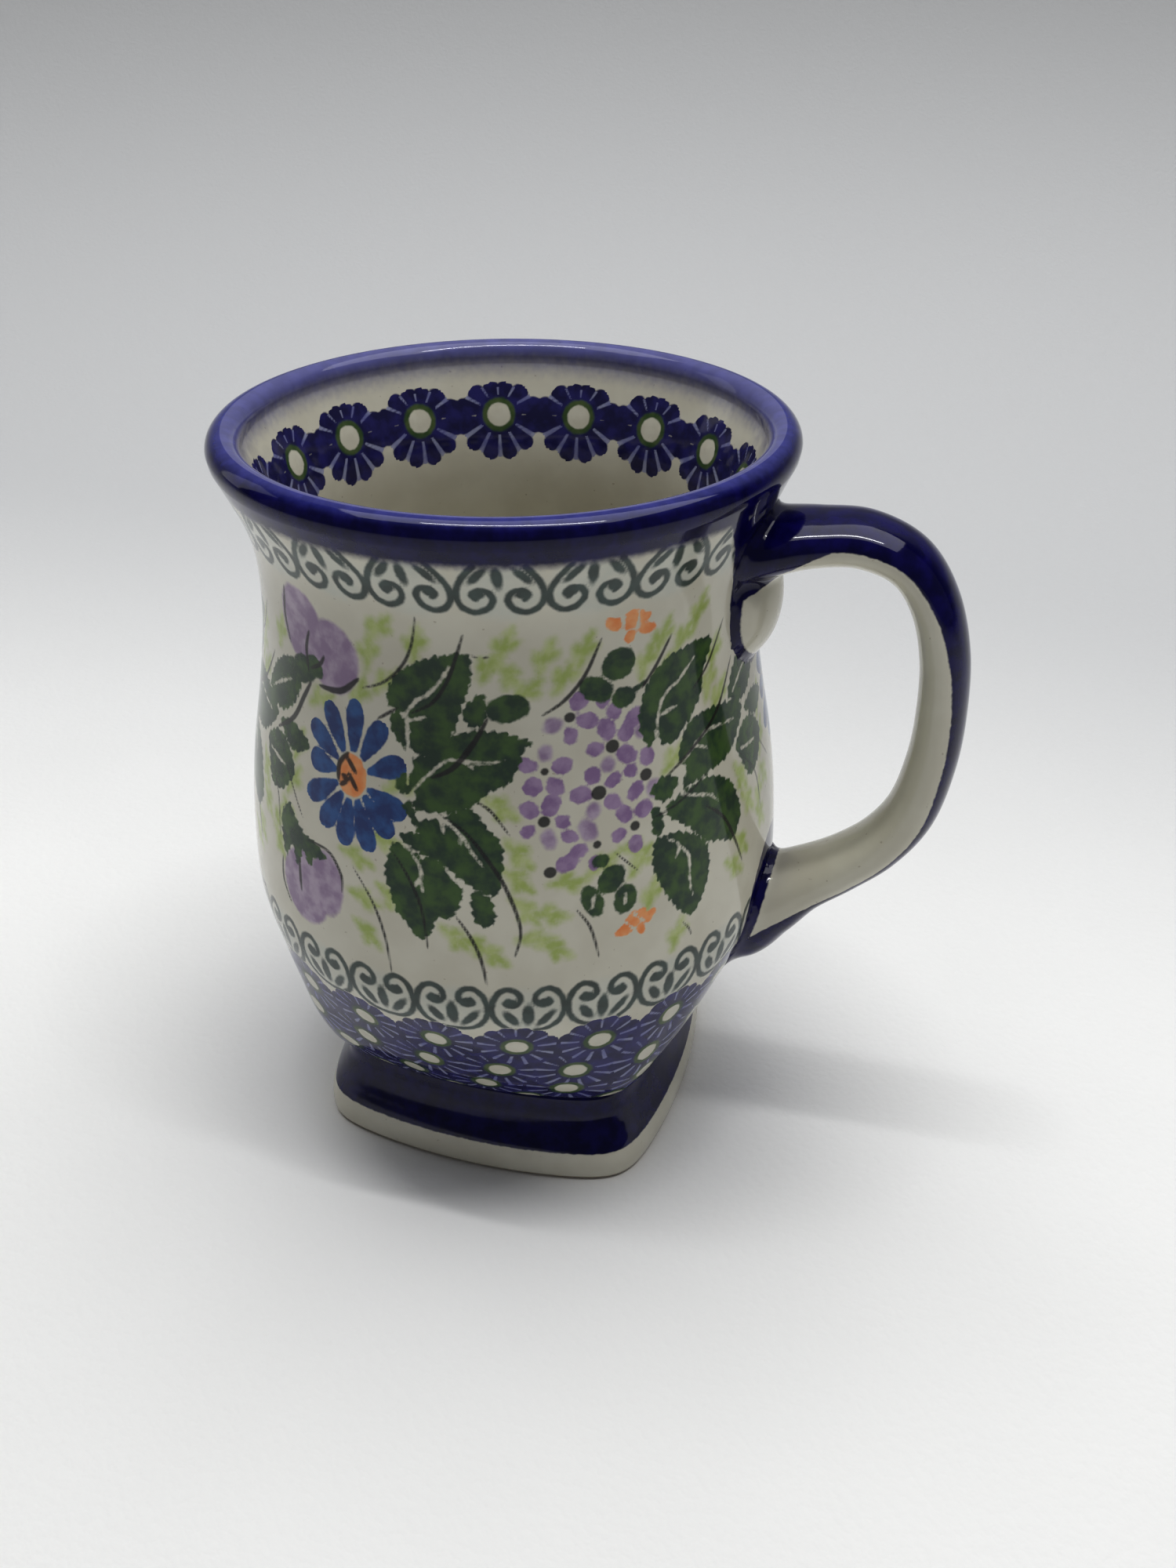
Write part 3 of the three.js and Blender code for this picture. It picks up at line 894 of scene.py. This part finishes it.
def oval_distance(away, sizes):
    """Distance outside an oval or an ellipsoid of half sizes, about right close to it."""
    away = away / sizes
    share = np.linalg.norm(away, axis=1) + 1e-9
    slope = np.linalg.norm(away / sizes, axis=1) / share + 1e-9
    return (share - 1) / slope


def handle_field(points):
    """Distance outside the handle: strap and tail in one, flared on the wall, ending inside it."""
    _, outward, thick, wide = strap_place(points)
    strap = oval_distance(np.stack([outward, points[:, 1]], -1), np.stack([thick, wide], -1))
    tail = oval_distance(points - TAIL_MIDDLE, TAIL_SIZE)
    mix = np.clip(0.5 + (tail - strap) / (2 * SOFTNESS), 0, 1)
    joined = tail + (strap - tail) * mix - SOFTNESS * mix * (1 - mix)
    wall = wall_distance(points)
    close = np.clip(1 - wall / FILLET, 0, 1)
    flare = FILLET * 0.7 * (1 - np.sqrt(1 - close ** 2))
    return np.maximum(joined - flare, -BURIED - wall)


def reshape(piece, change):
    """Moves the vertices of a piece by a function of their places in mm, and returns the new places."""
    points = np.zeros(len(piece.data.vertices) * 3)
    piece.data.vertices.foreach_get("co", points)
    points = change(points.reshape(-1, 3) / MM)
    piece.data.vertices.foreach_set("co", (points * MM).astype(np.float32).ravel())
    return points


def handle_topology():
    """An even mesh over the strap and the tail together."""
    rings = strap_rings()
    index = np.arange(STRAP_RINGS * STRAP_SIDES).reshape(STRAP_RINGS, STRAP_SIDES)
    beside = np.roll(index, -1, axis=1)
    walls = np.stack([index[:-1], index[1:], beside[1:], beside[:-1]], -1).reshape(-1, 4)
    ends = [index[0][None, :], index[-1][None, ::-1]]
    piece = mesh_object("handle_glazed", rings.reshape(-1, 3), [walls, *ends])
    bpy.ops.mesh.primitive_uv_sphere_add(segments=64, ring_count=40, radius=1)
    lump = bpy.context.object
    lump.scale = TAIL_SIZE * MM
    lump.location = TAIL_MIDDLE * MM
    bpy.ops.object.select_all(action="DESELECT")
    lump.select_set(True)
    piece.select_set(True)
    bpy.context.view_layer.objects.active = piece
    bpy.ops.object.join()
    reshape(piece, brought_out)
    remesh = piece.modifiers.new("even", "REMESH")
    remesh.mode = "VOXEL"
    remesh.voxel_size = HANDLE_STEP * MM
    bpy.ops.object.modifier_apply(modifier="even")
    return piece


def relaxed(points, edges):
    """Points moved half way to the middle of their neighbours along the edges of a mesh."""
    total = np.zeros_like(points)
    for here, there in (edges.T, edges.T[::-1]):
        np.add.at(total, here, points[there])
    return (points + total / np.bincount(edges.ravel())[:, None]) / 2


def settle(points, rounds=3):
    """Moves points onto the handle's surface along the slope of its field."""
    nudge = 0.02
    for _ in range(rounds):
        value = handle_field(points)
        slope = np.stack([
            (handle_field(points + step) - value) / nudge for step in np.eye(3) * nudge], -1)
        points = points - slope * (value / np.maximum((slope ** 2).sum(1), 0.25))[:, None]
    return points


# How far round the strap the cobalt comes: places along it, and its edge as a share of the half thickness.
COBALT_PLACES = [0, 0.1, 0.16, 0.3, 0.45, 0.6, 0.75, 0.86, 0.93, 1]
COBALT_EDGE = [-0.9, -0.6, 0.05, 0.1, 0.42, 0.48, 0.45, 0.35, 0.1, -0.1]
COBALT_CRISPNESS = 1.5
# The tail and the lower end lie below an X and a Z. A slanting line through a point parts their colours,
# and a rim of cobalt runs along the wall.
TAIL_ZONE, TAIL_LINE, TAIL_SLOPE, TAIL_RIM = (46, 107), (40, 104.5), 0.5, 1.2
LOWER_ZONE, LOWER_LINE, LOWER_SLOPE, LOWER_RIM = (52, 62), (41, 41.5), 0.7, 0.35


def handle_cobalt(points):
    """How far inside the cobalt a point of the handle lies: it covers the side that faces out."""
    place, outward, thick, _ = strap_place(points)
    x, _, z = points.T
    wall = wall_distance(points)
    brushed = outward - np.interp(place, COBALT_PLACES, COBALT_EDGE) * thick
    above = (z - TAIL_LINE[1]) - TAIL_SLOPE * (x - TAIL_LINE[0])
    tail = np.maximum(above, TAIL_RIM - wall)
    brushed = np.where((x < TAIL_ZONE[0]) & (z < TAIL_ZONE[1]), tail, brushed)
    under = LOWER_LINE[1] + LOWER_SLOPE * (x - LOWER_LINE[0]) - z
    lower = np.maximum(brushed, np.maximum(LOWER_RIM - wall, under))
    return np.where((x < LOWER_ZONE[0]) & (z < LOWER_ZONE[1]), lower, brushed) * COBALT_CRISPNESS


def make_handle():
    piece = handle_topology()
    edges = np.array([edge.vertices[:] for edge in piece.data.edges])
    points = reshape(piece, settle)
    for _ in range(RELAXINGS):
        points = reshape(piece, lambda places: settle(relaxed(places, edges), 2))
    piece.data.polygons.foreach_set("use_smooth", np.ones(len(piece.data.polygons), bool))
    piece.data.update()
    store(piece, "cobalt", handle_cobalt(points))
    return piece


# ---- glaze

COBALT = ((0.0022, 0.0016, 0.040), (0.006, 0.004, 0.085))
CREAM = (0.71, 0.69, 0.59)
CREAM_DEEP = (0.655, 0.63, 0.53)
BARE_CLAY = (0.36, 0.27, 0.17)
SPECK = (0.25, 0.19, 0.12)

# Each paint: its two colours, blur of its edge and raggedness in mm, and how much it hides.
PAINTS = {
    "tint": ((0.62, 0.66, 0.62), (0.52, 0.60, 0.58), 1.2, 0.5, 0.35),
    "wash": ((0.36, 0.47, 0.08), (0.52, 0.60, 0.24), 0.85, 0.6, 0.86),
    "lilac": ((0.24, 0.13, 0.32), (0.38, 0.26, 0.45), 0.2, 0.45, 0.92),
    "bud": ((0.28, 0.18, 0.34), (0.48, 0.38, 0.52), 0.4, 0.3, 0.9),
    "orange": ((0.85, 0.27, 0.06), (0.90, 0.42, 0.17), 0.15, 0.4, 0.95),
    "blue": ((0.004, 0.034, 0.18), (0.02, 0.11, 0.34), 0.16, 0.25, 0.98),
    "leaf": ((0.007, 0.038, 0.020), (0.048, 0.115, 0.022), 0.2, 0.4, 0.98),
    "scroll": ((0.010, 0.030, 0.030), (0.03, 0.062, 0.058), 0.24, 0.2, 0.93),
    "cobalt": (*COBALT, 0.22, 0.3, 1.0),
    "band": (*COBALT, 0.85, 0.35, 1.0),
    "stamped": ((0.006, 0.005, 0.066), (0.02, 0.018, 0.15), 0.2, 0.2, 0.98),
    "haze": ((0.035, 0.04, 0.23), (0.052, 0.058, 0.29), 0.8, 0.2, 0.88),
    "gap": ((0.36, 0.38, 0.55), (0.20, 0.21, 0.44), 0.13, 0.08, 0.85),
    "ring": ((0.05, 0.10, 0.03), (0.11, 0.16, 0.05), 0.3, 0.25, 0.92),
    "eye": (CREAM, CREAM_DEEP, 0.18, 0.2, 0.97),
    "black": ((0.003, 0.003, 0.005), (0.015, 0.015, 0.018), 0.17, 0.06, 0.93),
}
BOWL_PAINTS = list(PAINTS)


class Nodes:
    """A new material, with short ways to add and link its nodes."""

    def __init__(self, name):
        self.material = bpy.data.materials.new(name)
        self.material.use_nodes = True
        self.tree = self.material.node_tree
        self.shader = self.tree.nodes["Principled BSDF"]
        self.where = self.add("ShaderNodeTexCoord").outputs["Object"]

    def put(self, socket, value):
        if isinstance(value, bpy.types.NodeSocket):
            self.tree.links.new(value, socket)
        elif isinstance(value, tuple):
            socket.default_value = (*value, 1)
        else:
            socket.default_value = value

    def add(self, kind, inputs=None, **settings):
        """A new node with its settings, and what goes into its inputs by their number or name."""
        node = self.tree.nodes.new(kind)
        for key, value in settings.items():
            setattr(node, key, value)
        for key, value in (inputs or {}).items():
            self.put(node.inputs[key], value)
        return node

    def noise(self, size, detail=2.0):
        """Soft noise with features of a size in mm."""
        inputs = {"Vector": self.where, "Scale": 1 / (size * MM), "Detail": detail}
        return self.add("ShaderNodeTexNoise", inputs).outputs["Fac"]

    def math(self, operation, first, second):
        return self.add("ShaderNodeMath", {0: first, 1: second}, operation=operation).outputs[0]

    def ramp(self, value, low, high, to_low=0.0, to_high=1.0):
        inputs = dict(enumerate((value, low, high, to_low, to_high)))
        return self.add("ShaderNodeMapRange", inputs, interpolation_type="SMOOTHSTEP").outputs[0]

    def blend(self, share, first, second):
        return self.add("ShaderNodeMix", {0: share, 6: first, 7: second}, data_type="RGBA").outputs[2]

    def attribute(self, name):
        return self.add("ShaderNodeAttribute", attribute_name=name).outputs["Fac"]

    def axis(self, name):
        return self.add("ShaderNodeSeparateXYZ", {0: self.where}).outputs[name]

    def surface(self, colour, roughness, strength, depth, size):
        """Gives the shader a colour, a roughness, and bumps of a strength, depth and size in mm."""
        inputs = {"Strength": strength, "Distance": depth * MM, "Height": self.noise(size)}
        bump = self.add("ShaderNodeBump", inputs).outputs[0]
        for name, value in (("Base Color", colour), ("Roughness", roughness), ("Normal", bump)):
            self.put(self.shader.inputs[name], value)


def brushed_over(nodes, colour, name):
    """Lays one paint over a colour, with a ragged edge and uneven thickness."""
    thick, thin, blur, ragged, hiding = PAINTS[name]
    inside = nodes.math("ADD", nodes.attribute(name), nodes.math(
        "MULTIPLY", nodes.math("SUBTRACT", nodes.noise(1.1, 3.0), 0.5), ragged * 2))
    cover = nodes.ramp(inside, -blur, blur, 0.0, hiding)
    streaks = nodes.ramp(nodes.noise(2.6, 4.0), 0.35, 0.68)
    return nodes.blend(cover, colour, nodes.blend(streaks, thick, thin))


def glaze(name, paints, bare_to=0.0):
    """Glossy cream glaze over the named paints; below a height in mm the clay is bare."""
    nodes = Nodes(name)
    colour = nodes.blend(nodes.ramp(nodes.noise(9.0, 3.0), 0.3, 0.7), CREAM, CREAM_DEEP)
    specks = nodes.ramp(nodes.noise(0.9, 1.0), 0.745, 0.80, 0.0, 0.35)
    colour = nodes.blend(specks, colour, SPECK)
    for paint in paints:
        colour = brushed_over(nodes, colour, paint)
    if bare_to:
        bare = nodes.ramp(nodes.axis("Z"), bare_to * MM, (bare_to + 0.5) * MM, 0.85, 0.0)
        colour = nodes.blend(bare, colour, BARE_CLAY)
    nodes.shader.inputs["IOR"].default_value = 1.42
    nodes.surface(colour, roughness=0.07, strength=0.25, depth=0.06, size=3.4)
    return nodes.material


# ---- stage

FLOOR_AHEAD = 300
FLOOR_BEND = 250
FLOOR_REACH = 5000
BACKDROP_HEIGHT = 3000
# The cloth by the mug in its two shades, then painted shade: the same cloth darker farther behind it, and
# darker still up the wall.
CLOTH, CLOTH_PALE = (0.84, 0.84, 0.83), (0.90, 0.90, 0.89)
CLOTH_SHADED_BEHIND, CLOTH_SHADED_UP_WALL = (0.60, 0.605, 0.61), (0.34, 0.343, 0.345)


def make_floor():
    """A pale cloth that lies flat under the mug and sweeps up into a wall behind it, with painted shade
    behind the mug and up the wall.
    """
    turn = np.linspace(0, math.pi / 2, 14)
    bend = np.column_stack([FLOOR_AHEAD + FLOOR_BEND * np.sin(turn), FLOOR_BEND * (1 - np.cos(turn))])
    line = np.concatenate([[(-FLOOR_REACH, 0)], bend, [(FLOOR_AHEAD + FLOOR_BEND, BACKDROP_HEIGHT)]])
    ahead = np.array((math.cos(CAMERA_HEADING), math.sin(CAMERA_HEADING), 0))
    side = np.array((ahead[1], -ahead[0], 0))
    middle = line[:, :1] * ahead + line[:, 1:] * (0, 0, 1)
    edges = np.concatenate([middle - FLOOR_REACH * side, middle + FLOOR_REACH * side])
    index = np.arange(len(line))
    faces = np.stack([index[:-1], index[:-1] + len(line), index[1:] + len(line), index[1:]], -1)
    floor = mesh_object("floor", edges, [faces])
    nodes = Nodes("cloth")
    colour = nodes.blend(nodes.noise(60.0), CLOTH, CLOTH_PALE)
    # Painted shade: the cloth is coloured darker farther behind the mug, where less light falls.
    behind = nodes.ramp(nodes.axis("Y"), -0.02, 0.26)
    colour = nodes.blend(behind, colour, CLOTH_SHADED_BEHIND)
    # Painted shade: the cloth is coloured darker still as it rises up the wall, where less light falls.
    wall_shade = nodes.ramp(nodes.axis("Z"), 0.0, 0.3)
    colour = nodes.blend(wall_shade, colour, CLOTH_SHADED_UP_WALL)
    nodes.surface(colour, roughness=0.9, strength=0.35, depth=0.4, size=1.6)
    floor.data.materials.append(nodes.material)


SKY = (0.93, 0.95, 1, 1)
SKY_STRENGTH = 0.13
VIEW_GAMMA = 0.83
# Soft lights: name, place and target in metres, size and power.
LIGHTS = [
    ("overhead", (0.04, 0.2, 1.1), (0.04, 0.1, 0), (1.35, 0.9), 10.8),
    ("left", (-0.9, 0.25, 0.45), (0, 0, 0.07), (0.5, 0.6), 0.7),
    ("strip", (0.1, -0.08, 1.3), (0.1, -0.08, 0), (0.9, 0.04), 5.5),
]


def soft_light(name, place, target, size, power):
    data = bpy.data.lights.new(name, "AREA")
    data.shape = "RECTANGLE"
    data.size, data.size_y = size
    data.energy = power
    light = bpy.data.objects.new(name, data)
    light.location = place
    light.rotation_euler = (Vector(target) - Vector(place)).to_track_quat("-Z", "Y").to_euler()
    scene.collection.objects.link(light)


def make_lights():
    scene.view_settings.view_transform = "Standard"
    scene.view_settings.gamma = VIEW_GAMMA
    world = bpy.data.worlds.new("world")
    scene.world = world
    world.use_nodes = True
    background = world.node_tree.nodes["Background"]
    background.inputs["Color"].default_value = SKY
    background.inputs["Strength"].default_value = SKY_STRENGTH
    for light in LIGHTS:
        soft_light(*light)


# ---- the mug

make_camera()
make_floor()
make_lights()

bowl = make_bowl()
bowl.data.materials.append(glaze("bowl_glaze", BOWL_PAINTS))
foot = make_foot()
foot.data.materials.append(glaze("foot_glaze", ["cobalt"], bare_to=0.5))
handle = make_handle()
handle.data.materials.append(glaze("handle_glaze", ["cobalt"]))

for piece, node in ((bowl, "bowl"), (foot, "foot"), (handle, "handle")):
    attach(piece, "root")
    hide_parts(node)
